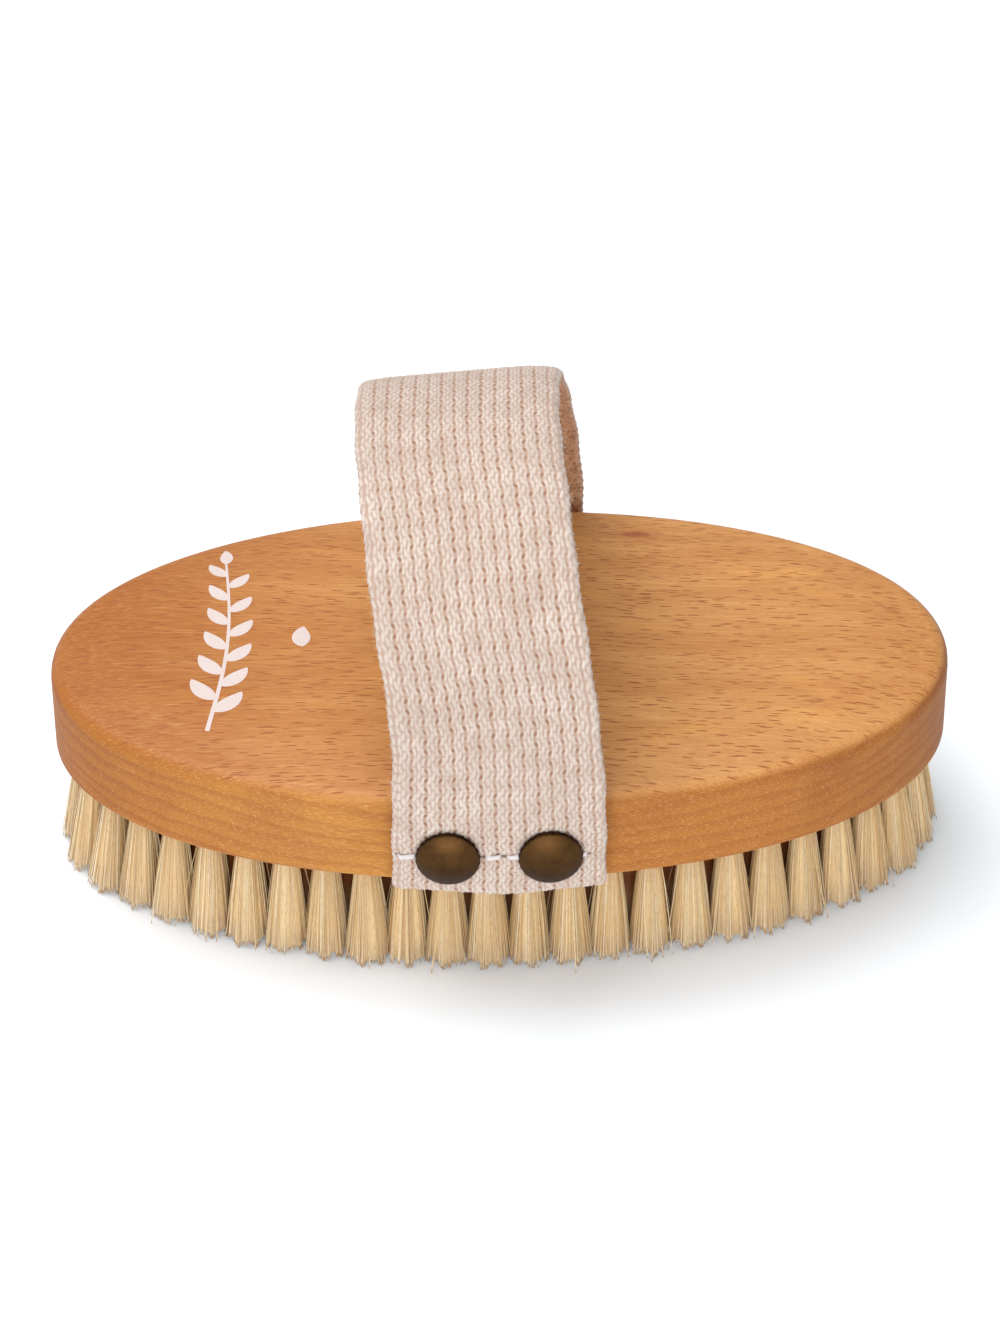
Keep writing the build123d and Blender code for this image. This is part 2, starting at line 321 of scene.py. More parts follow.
    gloss = m.plus(0.40, m.times(fibres, 0.16))
    m.set("Roughness", m.plus(gloss, m.times(wall, 0.18)))
    relief = m.minus(m.times(fibres, 0.8), m.times(dash, 0.7))
    relief = m.plus(relief, m.times(speck, 0.8))
    m.set("Normal", m.bump(relief, 0.06 * MM, 0.6))
    m.set("Specular IOR Level", 0.28)
    return m.material


def webbing_cotton():
    """Unbleached cotton, fibrous on top; painted shade browns the knit's slanting openings, the dips
    between yarns, the needle holes and the inner face.
    """
    m = Shader("webbing_cotton", roughness=0.95, sheen_weight=0.15, sheen_roughness=0.5)
    column = m.attribute("column")
    row = m.attribute("row")
    near_row = m.math("ROUND", row)
    along = m.minus(row, near_row)
    across = m.minus(column, m.math("ROUND", column))
    odd = m.math("FLOORED_MODULO", near_row, 2.0)
    zig = m.minus(1.0, m.times(odd, 2.0))
    slide = m.times(m.times(zig, along), HOLE_SLANT)
    narrow = m.math("DIVIDE", m.minus(across, slide), HOLE_HALF_WIDTH)
    tall = m.math("DIVIDE", along, HOLE_HALF_HEIGHT)
    reach = m.plus(m.times(narrow, narrow), m.times(tall, tall))
    hole = m.math("EXPONENT", m.times(reach, -1.0))
    pit = m.times(hole, m.attribute("open"))

    yarn = m.attribute("yarn")
    tint = m.noise((5 * MM, 5 * MM, 5 * MM), detail=3)
    m.colour = m.mix(m.ramp(tint, 0.3, 0.7), srgb(203, 189, 178), srgb(217, 204, 194))
    # painted shade in the dips between the yarns
    m.stain(m.ramp(yarn, 0.95, 0.05), 180, 153, 137)
    # painted shade down in the knit's openings
    m.stain(m.ramp(pit, 0.06, 0.80), 162, 122, 98)
    # painted shade in the needle holes
    m.stain(m.ramp(m.attribute("needle"), 0.2, 0.8, 0.85), 104, 84, 74)
    # painted shade: the inner face tan, and browner in its hollows
    inner = m.attribute("inner")
    m.stain(m.times(inner, 0.75), 214, 162, 118)
    terry = m.noise((0.55 * MM, 0.55 * MM, 0.45 * MM), detail=3, rough=0.6)
    hollow = m.times(inner, m.ramp(terry, 0.50, 0.64))
    m.stain(m.times(hollow, 0.60), 146, 92, 44)
    fibre = m.noise((0.09 * MM, 0.09 * MM, 0.20 * MM), detail=3, rough=0.7)
    m.stain(m.ramp(fibre, 0.56, 0.76, 0.28), 184, 154, 138)
    m.set("Base Color", m.colour)
    height = m.minus(m.times(fibre, 0.6), m.times(pit, 1.2))
    height = m.minus(height, m.times(hollow, 3.0))
    m.set("Normal", m.bump(height, 0.10 * MM, 0.7))
    m.set("Specular IOR Level", 0.15)
    return m.material


def cotton_hair():
    """The same cotton as loose hairs."""
    m = Shader("cotton_hair", roughness=0.9)
    tint = m.noise((3 * MM, 3 * MM, 3 * MM))
    m.set("Base Color", m.mix(tint, srgb(206, 188, 174), srgb(230, 216, 204)))
    return m.material


def plant_fibre():
    """Split plant fibre: cream, each strand its own tone, greyer at the cut tips; painted shade browns
    the roots and the gaps between the inner tufts."""
    m = Shader("plant_fibre", roughness=0.42, subsurface_weight=0.25,
               subsurface_radius=(1.0, 0.75, 0.45), subsurface_scale=0.8 * MM)
    tone = m.attribute("tone")
    along = m.attribute("along")
    m.colour = m.mix(m.ramp(tone, 0.0, 0.45), srgb(209, 172, 118), srgb(230, 199, 149))
    m.stain(m.ramp(tone, 0.55, 1.0), 243, 221, 179)
    streak = m.noise((0.25 * MM, 0.25 * MM, 4 * MM), detail=3)
    m.stain(m.ramp(streak, 0.5, 0.75, 0.35), 206, 164, 112)
    fine = m.noise((0.11 * MM, 0.11 * MM, 5 * MM))
    m.stain(m.ramp(fine, 0.50, 0.68, 0.50), 190, 146, 96)
    # painted shade: browner towards the roots, under the block
    m.stain(m.ramp(along, 0.45, 0.0, 0.55), 186, 132, 76)
    # painted shade: brown in the gaps between the inner rings' tufts, strongest near the roots
    gap_shade = m.times(m.attribute("gap_shade"), m.ramp(along, 1.0, 0.50, 0.95))
    m.stain(gap_shade, 140, 70, 14)
    m.stain(m.ramp(along, 0.70, 0.96, 0.25), 214, 190, 166)
    m.stain(m.ramp(along, 0.955, 0.985, 0.65), 146, 104, 72)
    m.set("Base Color", m.colour)
    m.set("Specular IOR Level", 0.35)
    return m.material


def antique_brass():
    """Dark oxidised brass, rubbed lighter on the crown, darkest in the crimped rim, with painted
    light: lighter on the upper side, darker below, and a painted highlight along the lower rim.
    """
    m = Shader("antique_brass", metallic=1.0)
    rub = m.attribute("rub")
    patina = m.noise((1.6 * MM, 1.6 * MM, 1.6 * MM), detail=4, rough=0.65)
    fine = m.noise((0.25 * MM, 0.25 * MM, 0.25 * MM))
    # wear on the crown plus painted light, lighter above and darker below
    worn_and_lit = m.plus(rub, m.times(m.minus(patina, 0.5), 1.1))
    m.colour = m.mix(m.ramp(worn_and_lit, 0.15, 1.1), srgb(48, 29, 15), srgb(86, 60, 33))
    m.stain(m.ramp(fine, 0.55, 0.8, 0.4), 42, 28, 16)
    m.set("Base Color", m.colour)
    m.set("Roughness", m.ramp(patina, 0.3, 0.7, 0.55, start=0.36))
    height = m.plus(patina, m.times(fine, 0.35))
    m.set("Normal", m.bump(height, 0.05 * MM, 0.6))
    return m.material


def white_thread():
    """Two-ply sewing thread."""
    m = Shader("white_thread", roughness=0.7, sheen_weight=0.2)
    ply = m.noise((0.35 * MM, 0.2 * MM, 0.2 * MM))
    m.set("Base Color", m.mix(ply, srgb(196, 188, 187), srgb(228, 222, 222)))
    m.set("Normal", m.bump(ply, 0.06 * MM, 0.7))
    return m.material


def white_print():
    """Thin off-white ink, a little broken over the wood's pores."""
    m = Shader("white_print", roughness=0.55)
    wear = m.noise((1.1 * MM, 0.12 * MM, 0.5 * MM))
    m.set("Base Color", m.mix(m.ramp(wear, 0.55, 0.8), srgb(216, 202, 199), srgb(206, 172, 140)))
    return m.material


def plain_steel():
    """Drawn steel wire of the pins and anchors."""
    m = Shader("plain_steel", metallic=1.0, roughness=0.35)
    drawn = m.noise((0.3 * MM, 4 * MM, 0.3 * MM))
    m.set("Base Color", m.mix(drawn, (0.42, 0.41, 0.40, 1), (0.62, 0.61, 0.60, 1)))
    m.set("Normal", m.bump(drawn, 0.02 * MM, 0.5))
    return m.material


# ------------ mesh helpers
def new_piece(name, points, faces, material, attributes=()):
    """Smooth-shaded mesh object with float attributes on its points."""
    mesh = bpy.data.meshes.new(name)
    mesh.from_pydata(np.asarray(points).tolist(), [], faces)
    for key, values in dict(attributes).items():
        layer = mesh.attributes.new(key, "FLOAT", "POINT")
        layer.data.foreach_set("value", np.asarray(values, np.float32))
    mesh.polygons.foreach_set("use_smooth", [True] * len(mesh.polygons))
    mesh.materials.append(material)
    piece = bpy.data.objects.new(name, mesh)
    bpy.context.scene.collection.objects.link(piece)
    return piece


def ring_faces(rows, columns, offset=0):
    """Quads of an open tube whose rows are closed loops of points, numbered from offset."""
    row, column = np.meshgrid(np.arange(rows - 1), np.arange(columns), indexing="ij")
    following = (column + 1) % columns
    a = row * columns + column
    b = row * columns + following
    return np.stack([a, b, b + columns, a + columns], -1).reshape(-1, 4) + offset


def tube_faces(rows, columns):
    """Faces of a tube whose rows are closed loops of points, with both ends closed."""
    loop = np.arange(columns)
    ends = [loop[::-1].tolist(), ((rows - 1) * columns + loop).tolist()]
    return ring_faces(rows, columns).tolist() + ends


def sideways(line):
    """Directions at right angles to a line of points in a plane."""
    slope = np.gradient(line, axis=0)
    slope /= np.linalg.norm(slope, axis=1)[:, None]
    return np.stack([-slope[:, 1], slope[:, 0]], 1)


def span(points):
    """Middle and half sizes of the box round some points."""
    low, high = points.min(0), points.max(0)
    return (low + high) / 2, (high - low) / 2


def joined(parts):
    """Points and faces of several meshes as one."""
    faces = []
    offset = 0
    for points, part_faces in parts:
        faces += [[index + offset for index in face] for face in part_faces]
        offset += len(points)
    return np.concatenate([points for points, _ in parts]), faces


SAME_POINT = 0.001 * MM


def islands(node):
    """Points of each separate solid in a CAD node."""
    shape = bmesh.new()
    shape.from_mesh(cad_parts[node].data)
    bmesh.ops.remove_doubles(shape, verts=shape.verts, dist=SAME_POINT)
    left = set(shape.verts)
    groups = []
    while left:
        first = left.pop()
        stack = [first]
        group = [first]
        while stack:
            for edge in stack.pop().link_edges:
                for vert in edge.verts:
                    if vert in left:
                        left.discard(vert)
                        stack.append(vert)
                        group.append(vert)
        groups.append(np.array([vert.co for vert in group]))
    shape.free()
    return sorted(groups, key=lambda points: tuple(points.mean(0).round(6)))


def ease(value, low, high):
    """Smooth step from 0 at low to 1 at high."""
    t = np.clip((value - low) / (high - low), 0, 1)
    return t * t * (3 - 2 * t)


# ------------ webbing strap
LAYER = 2.0 * MM  # webbing thickness
WALL_GAP = 0.05 * MM
HEM = 10.0 * MM  # top of the turned-in end above the underside
FOLD_ABOVE_UNDERSIDE = 3.3 * MM
FOLD_DEPTH = 0.9  # how far the fold bulges down, in layers
LOOP_RISE = 44.0 * MM  # hinge to the outer face at the crown
LOOP_WIDTH_SHARE = 0.96  # the free loop is pulled a little narrower than its nailed ends
LEAN = math.radians(5.8)  # how far the loop hangs over to -X
CROWN_SLIDE = 0.5 * MM  # and how much further its crown has slipped
CROWN_TILT = math.radians(4.2)  # how far the crown's own line drops to -X
TWIST = math.radians(0.4)
LEAN_GROWS_OVER = 36 * MM
NARROWS_OVER = (-4 * MM, 18 * MM)  # heights from the hinge where the loop narrows,
LEAVES_WALL_OVER = (-2 * MM, 22 * MM)  # and where it stops following the curved wall
CROWN_REACH = 26 * MM  # from the crown's middle to where its slip ends
KNIT_COLUMN = 2.04 * MM
FIRST_COLUMN = -12.6 * MM  # the first line of holes, from the strap's middle
LOOP_ROW = 1.56 * MM
TAB_ROW = 1.16 * MM  # the knit is squeezed shorter where it is nailed down
ROW_EASE = 4 * MM  # half the height over which the one becomes the other
OUTER_CUTS = 8  # mesh columns to one column of the knit
INNER_CUTS = 3.4
ROW_CUTS = 5  # mesh rows to one row of the knit
HEM_ROW_CUTS = 2
PATH_STEPS = {"hem": 40, "fold": 16, "tab": 40, "arch": 400}
FOLD_SHOWS = 8  # path steps of the fold that are cut as finely as the tab
KNIT_RELIEF = 0.24 * MM
WALL_POWER = 2.08  # of the block's oval


def block_wall(x):
    """How far the front wall stands from the middle at x."""
    return HALF_WIDTH * (1 - np.abs(x / HALF_LENGTH) ** WALL_POWER) ** (1 / WALL_POWER)


def strap_path():
    """Middle line of the webbing from the front hem over the loop to the rear hem.

    Gives each mesh row's y, z, outward normal and place counted in rows of the knit, and the
    whole length."""
    wall = HALF_WIDTH + WALL_GAP
    inner = wall + LAYER / 2
    outer = wall + LAYER * 1.5
    fold_z = UNDERSIDE_Z + FOLD_ABOVE_UNDERSIDE
    rise = LOOP_RISE - LAYER / 2
    hem = [(-inner, z) for z in np.linspace(UNDERSIDE_Z + HEM, fold_z, PATH_STEPS["hem"])]
    middle = (inner + outer) / 2
    for turn in np.linspace(0, math.pi, PATH_STEPS["fold"])[1:-1]:
        y = -middle + LAYER / 2 * math.cos(turn)
        hem.append((y, fold_z - LAYER * FOLD_DEPTH * math.sin(turn)))
    tab = [(-outer, z) for z in np.linspace(fold_z, HINGE_Z, PATH_STEPS["tab"])[:-1]]
    arch = [(-outer * math.cos(t), HINGE_Z + rise * math.sin(t))
            for t in np.linspace(0, math.pi, PATH_STEPS["arch"])]
    rear = [(-y, z) for y, z in (hem + tab)[::-1]]
    line = np.array(hem + tab + arch + rear)
    step = np.linalg.norm(np.diff(line, axis=0), axis=1)
    above = (line[1:, 1] + line[:-1, 1]) / 2 - HINGE_Z
    pitch = TAB_ROW + (LOOP_ROW - TAB_ROW) * ease(above, -ROW_EASE, ROW_EASE)
    hidden = np.zeros(len(step))
    hidden[:len(hem) - FOLD_SHOWS] = 1
    hidden[FOLD_SHOWS - len(hem):] = 1
    cuts = ROW_CUTS + (HEM_ROW_CUTS - ROW_CUTS) * hidden
    rows = np.concatenate([[0], np.cumsum(step / pitch)])
    mesh_rows = np.concatenate([[0], np.cumsum(step / pitch * cuts)])
    even = np.linspace(0, mesh_rows[-1], int(mesh_rows[-1]))
    y = np.interp(even, mesh_rows, line[:, 0])
    z = np.interp(even, mesh_rows, line[:, 1])
    normal = sideways(np.stack([y, z], 1))
    return y, z, normal, np.interp(even, mesh_rows, rows), step.sum()


# sizes in cells of the knit, heights in KNIT_RELIEF
HOLE_SLANT = 0.30  # sideways run of a hole for its height
HOLE_HALF_WIDTH = 0.135
HOLE_HALF_HEIGHT = 0.27
HOLE_DENT = 1.25  # width of the dent to that of the dark opening
HOLE_DEPTH = 1.1
YARNS = ((0.20, 0.0, 1.0), (0.50, 0.5, -1.0), (0.80, 0.0, 1.0))  # place, phase and lean
YARN_SLANT = 0.14
YARN_HALF_WIDTH = 0.125
YARN_HEIGHT = 0.55


def knit(column, row, dice):
    """Height, opening and yarn brightness of the knit at a place counted in its cells, the brightness
    setting painted shade between the yarns.
    """
    near_row = np.round(row).astype(int)
    near_column = np.round(column).astype(int)
    chance = dice[near_column % dice.shape[0], near_row % dice.shape[1]]
    zig = np.where(near_row % 2 == 0, 1.0, -1.0)
    across = column - near_column
    along = row - near_row
    slanted = across - zig * along * HOLE_SLANT
    opening = np.clip(0.5 + 0.7 * chance[..., 0], 0, 1)
    wide = HOLE_DENT * HOLE_HALF_WIDTH
    hole = np.exp(-((slanted / wide) ** 2) - (along / HOLE_HALF_HEIGHT) ** 2)
    within = column - np.floor(column)
    yarn = np.zeros_like(column)
    for place, phase, lean in YARNS:
        near = np.round(row + phase)
        part = row + phase - near
        turned = np.where(near % 2 == 0, 1.0, -1.0) * lean
        off = (within - place - YARN_SLANT * turned * part) / YARN_HALF_WIDTH
        yarn = np.maximum(yarn, np.exp(-off * off) * (1 - 0.75 * (2 * np.abs(part)) ** 3))
    yarn = yarn * (0.8 + 0.35 * chance[..., 1])
    return YARN_HEIGHT * yarn - HOLE_DEPTH * hole * opening, opening, yarn


def bend_strap(x, y, z):
    """Strap as it stands: following the curved wall low down, leaning and twisting higher up."""
    above = z - HINGE_Z
    side = np.sign(y)
    set_back = (HALF_WIDTH - block_wall(STRAP_X + x)) * (1 - ease(above, *LEAVES_WALL_OVER))
    y = y - side * set_back
    grown = ease(above, 0, LEAN_GROWS_OVER)
    lean = LEAN * grown
    tilt = CROWN_TILT * grown
    twist = TWIST * grown
    x = x * (1 - (1 - LOOP_WIDTH_SHARE) * ease(above, *NARROWS_OVER))
    slide = CROWN_SLIDE * (1 - ease(np.abs(y), 0, CROWN_REACH)) * grown
    leaned_x = x * np.cos(tilt) - above * np.sin(lean) - slide
    leaned_z = HINGE_Z + np.where(above > 0, x * np.sin(tilt) + above * np.cos(lean), above)
    turned_x = leaned_x * np.cos(twist) - y * np.sin(twist)
    turned_y = leaned_x * np.sin(twist) + y * np.cos(twist)
    return STRAP_X + turned_x, turned_y, leaned_z


PILLOW_RISE = 0.30 * MM
PILLOW_RADIUS = 1.18  # in cap radii
PILLOW_WIDTH = 1.0 * MM
CAP_DENT = 0.12 * MM
CAP_DENT_RADIUS = 0.9


def cap_pillow(x, y, z, caps):
    """Rise of the webbing in a ring round each nail cap, and its dent under the cap."""
    rise = np.zeros_like(x)
    for centre, radius in caps:
        away = np.sqrt((x - centre[0]) ** 2 + (z - centre[2]) ** 2)
        same_side = (y * centre[1]) > 0
        from_ring = (away - radius * PILLOW_RADIUS) / PILLOW_WIDTH
        rise += same_side * PILLOW_RISE * np.exp(-(from_ring ** 2))
        rise -= same_side * CAP_DENT * np.exp(-((away / (CAP_DENT_RADIUS * radius)) ** 4))
    return rise


NEEDLE_PAST_END = 0.15 * MM  # from a stitch's end to the needle's hole
NEEDLE_RADIUS = 0.36 * MM
NEEDLE_DENT = 0.18 * MM


def needle_marks(x, y, z, needles):
    """How near each point is to where the needle went through, from 0 to 1."""
    mark = np.zeros_like(x)
    for place in needles:
        away = (x - place[0]) ** 2 + (z - place[2]) ** 2
        mark = np.maximum(mark, (y * place[1] > 0) * np.exp(-away / NEEDLE_RADIUS ** 2))
    return mark


KNIT_CELLS = (96, 192)  # columns and rows whose cells differ before they repeat
EDGE_ROUND = LAYER * 0.42
PLAIN_EDGE = (0.6 * MM, 2.4 * MM)  # from the edge, where the knit's holes begin
RELIEF_ROOM = 0.22 * MM  # how far the faces stand inside the webbing, for the knit to rise
EDGE_SCALLOP = 0.07 * MM  # of the edges, once to each row
EDGE_WANDER = 0.10 * MM
CURL_OVER = (22 * MM, 42 * MM)  # heights from the hinge where the crown's edges curl down
CURL_RIGHT = 1.0 * MM
CURL_LEFT = 0.4 * MM
SAG = 1.0 * MM  # of the fold's middle below its ends
SAG_PLACE = 0.9 * MM
SAG_HALF_WIDTH = 6.5 * MM
SAG_HEIGHT = 6 * MM


def strap_section():
    """Places across the webbing round its whole section, and 1 to -1 from outer to inner face."""
    columns = STRAP_WIDTH / KNIT_COLUMN
    half = STRAP_WIDTH / 2 - EDGE_ROUND
    outer = np.linspace(-half, half, int(columns * OUTER_CUTS))
    inner = np.linspace(half, -half, int(columns * INNER_CUTS))
    turn = np.linspace(0, math.pi, 7)[1:-1]
    bulge = EDGE_ROUND * np.sin(turn)
    across = np.concatenate([outer, half + bulge, inner, -half - bulge])
    faces = [np.ones(len(outer)), np.cos(turn), -np.ones(len(inner)), -np.cos(turn)]
    return across, np.concatenate(faces)


def strap_surface(caps, needles):
    """Points, faces and attributes of the whole strap, one closed skin over both faces."""
    y, z, normal, rows, length = strap_path()
    u, face = strap_section()
    rng = np.random.default_rng(SEED)
    dice = rng.random((*KNIT_CELLS, 2))
    across, row = np.meshgrid(u, rows)
    side = np.broadcast_to(face, across.shape)
    low_z = z[:, None]
    column = (across - FIRST_COLUMN) / KNIT_COLUMN
    row = row + 0.10 * np.sin(column * 0.9) + 0.22 * np.sin(column * 0.31 + row * 0.05)
    column = column + 0.06 * np.sin(row * 0.37) + 0.05 * np.sin(row * 0.11 + column)
    height, opening, yarn = knit(column, row, dice)
    edge = ease(STRAP_WIDTH / 2 - np.abs(across), *PLAIN_EDGE)
    opening = opening * edge
    relief = KNIT_RELIEF * height * (0.35 + 0.65 * edge) * np.abs(side) ** 3
    out = side * (LAYER / 2 - RELIEF_ROOM) + np.sign(side) * relief
    wobble = EDGE_SCALLOP * np.sin(row * 2 * math.pi) + EDGE_WANDER * np.sin(row * 0.9)
    wide = across + np.sign(across) * wobble * (1 - edge)
    y3 = y[:, None] + normal[:, :1] * out
    z3 = low_z + normal[:, 1:] * out
    curl = np.where(wide > 0, CURL_RIGHT, CURL_LEFT) * ease(low_z - HINGE_Z, *CURL_OVER)
    curl = curl * np.abs(wide / (STRAP_WIDTH / 2)) ** 6
    y3 = y3 - normal[:, :1] * curl
    z3 = z3 - normal[:, 1:] * curl
    bottom = 1 - ease(low_z, UNDERSIDE_Z, UNDERSIDE_Z + SAG_HEIGHT)
    z3 = z3 - SAG * bottom * np.exp(-(((wide - SAG_PLACE) / SAG_HALF_WIDTH) ** 2))
    on_tab = (z3 < HINGE_Z) & (side > 0.5) & (np.abs(y3) > HALF_WIDTH + LAYER)
    y3 = y3 + np.sign(y3) * cap_pillow(STRAP_X + wide, y3, z3, caps) * on_tab
    needle = needle_marks(STRAP_X + wide, y3, z3, needles) * on_tab
    y3 = y3 - np.sign(y3) * NEEDLE_DENT * needle
    points = np.stack(bend_strap(wide, y3, z3), -1).reshape(-1, 3)
    # yarn, open, needle and inner also drive the webbing's painted shade
    values = {"column": column, "row": row, "open": opening, "yarn": yarn, "needle": needle,
              "inner": np.clip(-side, 0, 1)}
    values = {key: value.ravel() for key, value in values.items()}
    return points, tube_faces(len(rows), len(u)), values, length


FUZZ_HAIRS = 6500
FUZZ_STEPS = 3
FUZZ_SIDES = 3
FUZZ_RADIUS = 0.018 * MM
FUZZ_LENGTH = (0.2 * MM, 0.6 * MM)
FUZZ_LIFT = 0.7  # a hair's heading along the webbing's normal,
FUZZ_SCATTER = 0.75  # and at random,
FUZZ_BEND = 0.3  # and how far it then bends off
FUZZ_ON_EDGES = 5.0  # how much likelier a hair is on the plain edges


def make_fuzz(strap, material):
    """Loose cotton hairs standing off the webbing, most of them along its edges."""
    rng = np.random.default_rng(SEED + 40)
    mesh = strap.data
    place = np.zeros(len(mesh.vertices) * 3)
    mesh.vertices.foreach_get("co", place)
    place = place.reshape(-1, 3)
    normal = np.zeros(len(mesh.vertices) * 3)
    mesh.vertex_normals.foreach_get("vector", normal)
    normal = normal.reshape(-1, 3)
    opening = np.zeros(len(mesh.vertices))
    mesh.attributes["open"].data.foreach_get("value", opening)
    on_edge = opening < 0.02
    free = np.abs(place[:, 1]) > HALF_WIDTH + 1.5 * LAYER
    free |= place[:, 2] > BLOCK_TOP_Z + 2 * MM
    chance = free * (1.0 + FUZZ_ON_EDGES * on_edge)
    picked = rng.choice(len(place), FUZZ_HAIRS, p=chance / chance.sum())
    heading = normal[picked] * FUZZ_LIFT
    heading += rng.standard_normal((FUZZ_HAIRS, 3)) * FUZZ_SCATTER
    heading /= np.linalg.norm(heading, axis=1)[:, None]
    bend = rng.standard_normal((FUZZ_HAIRS, 3)) * FUZZ_BEND
    reach = rng.uniform(*FUZZ_LENGTH, FUZZ_HAIRS)[:, None, None]
    t = np.linspace(0, 1, FUZZ_STEPS)[None, :, None]
    lines = place[picked][:, None, :] + heading[:, None, :] * t * reach
    lines = lines + bend[:, None, :] * t * t * reach
    across = np.cross(heading, bend)
    across /= np.linalg.norm(across, axis=1)[:, None]
    radii = np.full((FUZZ_HAIRS, FUZZ_STEPS), FUZZ_RADIUS)
    points, faces = tube_mesh(lines, radii, FUZZ_SIDES, across, np.cross(heading, across))
    return new_piece("strap_fuzz", points, faces, material)


def make_strap(material, fuzz_material, caps):
    """The webbing and its loose hairs, both bending from the nailed tabs to the leaning loop."""
    needles = []
    for node in ("front_hem_stitches", "rear_hem_stitches"):
        for solid in islands(node):
            middle, half = span(solid)
            reach = half[0] + NEEDLE_PAST_END
            needles += [middle - (reach, 0, 0), middle + (reach, 0, 0)]
    points, faces, values, length = strap_surface(caps, needles)
    strap = new_piece("webbing_strap", points, faces, material, values)
    fuzz = make_fuzz(strap, fuzz_material)
    for piece in (strap, fuzz):
        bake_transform(piece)
    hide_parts("strap_front_tab", "strap_loop", "strap_rear_tab")


# ------------ tufts
STRAND_SIDES = 3
STRAND_RADIUS = (0.09 * MM, 0.15 * MM)
STRAND_TAPER = 0.15
CORE_SIDES = 14
CORE_LUMPS = 0.05
END_LEVEL = 0.1 * MM  # CAD points this near a tuft's end belong to it
TUFT_LEAN = 0.18 * MM
ROOT_PINCH = 0.82  # drawn radii to those of the CAD tuft
TIP_SPREAD = (1.18, 1.32)
ROOT_IN_HOLE = 1.2 * MM
HOLE_MOUTH = 0.06  # where a tuft leaves its hole, as a share of its drawn height
FLARE_POWER = 0.85
TIP_CLUMPS = 7  # small points that a tuft's cut edge gathers into
TIP_CLUMP_DEPTH = 0.85 * MM
TIP_CLUMP_PULL = 0.09  # radians
TIP_SCATTER = 0.10 * MM
TIP_RAGGED = 0.16 * MM
LOWEST_TIP = 0.05 * MM
REACH_SCATTER = 0.045  # in tip radii, as is STRAY_REACH
BOW = 0.07 * MM
BROKEN_SHARE = 0.08  # of the strands, and how much shorter they are
BROKEN_BY = (0.3 * MM, 1.2 * MM)
STRAY_SHARE = 0.04  # of the strands, how far out they go, and how many times as unruly
STRAY_REACH = (0.08, 0.32)
STRAY_SCATTER = 6
STRAY_BOW = 5
STRAND_FLATNESS = 0.5  # a strand's depth into the tuft to its width
CORE_STEPS = 0.94 * np.linspace(0, 1, 6) ** 1.4  # places along a tuft's height
SHELL_STEPS = np.linspace(0, 1, 5) ** 1.5
END_STEPS = np.array([0.82, 0.92, 1.0])
CORE_SHARE = 0.96  # radius of a tuft's packed middle to the whole tuft
SHELL_SHARE = (0.95, 1.02)
END_SHARE = 0.93
SHELL_STRANDS = 100
END_STRANDS = 70
RING_SHARE = {  # share of those strands that each ring's tufts carry
    "outer_ring": 1.0,
    "second_ring": 0.8,
    "third_ring": 0.6,
    "fourth_ring": 0.6,
    "fifth_ring": 0.6,
    "centre_row": 0.7,
}


def tube_mesh(lines, radii, sides, across=(1, 0, 0), aside=(0, 1, 0)):
    """Thin closed tubes along many lines at once, their rounds drawn across and aside."""
    count, steps, _ = lines.shape
    turn = np.arange(sides) * 2 * math.pi / sides
    across = np.broadcast_to(across, (count, 3))[:, None, None, :]
    aside = np.broadcast_to(aside, (count, 3))[:, None, None, :]
    round_ = np.cos(turn)[:, None] * across + np.sin(turn)[:, None] * aside
    points = (lines[:, :, None, :] + radii[:, :, None, None] * round_).reshape(-1, 3)
    each = steps * sides
    offsets = np.arange(count) * each
    walls = (ring_faces(steps, sides)[None] + offsets[:, None, None]).reshape(-1, 4)[:, ::-1]
    top = np.arange(sides)[None] + offsets[:, None]
    tip = (each - sides + np.arange(sides)[::-1])[None] + offsets[:, None]
    return points, walls.tolist() + top.tolist() + tip.tolist()


def flare(t):
    """How far a tuft has opened from its root radius to its tip radius, t along its height."""
    return np.clip((t - HOLE_MOUTH) / (1 - HOLE_MOUTH), 0, 1) ** FLARE_POWER


def tuft_lines(rng, tuft, count, share, t, stray_share):
    """Middle lines of one tuft's strands at the places t along its height, tips ragged.

    Share is how far out each strand stands in the tuft's radius. Also gives each strand's
    direction out from the tuft's middle."""
    root, tip, root_radius, tip_radius = tuft
    angle = rng.random(count) * 2 * math.pi
    clump = TIP_CLUMPS * angle + rng.random() * 2 * math.pi
    heading = np.stack([np.cos(angle), np.sin(angle)], 1)
    gathered = angle - TIP_CLUMP_PULL * np.cos(clump)
    stray = rng.random(count) < stray_share
    reach = 1.0 + REACH_SCATTER * rng.standard_normal(count)
    reach += stray * rng.uniform(*STRAY_REACH, count)
    inside = heading * (share * root_radius)[:, None]
    spread = np.stack([np.cos(gathered), np.sin(gathered)], 1)
    spread = spread * (share * tip_radius * reach)[:, None]
    scatter = TIP_SCATTER * np.where(stray, STRAY_SCATTER, 1)[:, None]
    spread += rng.standard_normal((count, 2)) * scatter
    bow = rng.standard_normal((count, 2)) * BOW * np.where(stray, STRAY_BOW, 1)[:, None]
    shortfall = np.abs(rng.standard_normal(count)) * TIP_RAGGED
    shortfall += (0.5 + 0.5 * np.sin(clump)) ** 2 * TIP_CLUMP_DEPTH
    shortfall += (rng.random(count) < BROKEN_SHARE) * rng.uniform(*BROKEN_BY, count)
    lines = np.zeros((count, len(t), 3))
    opened = flare(t)
    for axis in (0, 1):
        middle = inside[:, axis, None] * (1 - opened) + spread[:, axis, None] * opened
        leaning = root[axis] + (tip[axis] - root[axis]) * t
        lines[:, :, axis] = middle + leaning + bow[:, axis, None] * np.sin(math.pi * t)
    top_z = root[2] + ROOT_IN_HOLE
    lines[:, :, 2] = top_z + (LOWEST_TIP + shortfall[:, None] - top_z) * t
    return lines, np.column_stack([heading, np.zeros(count)])


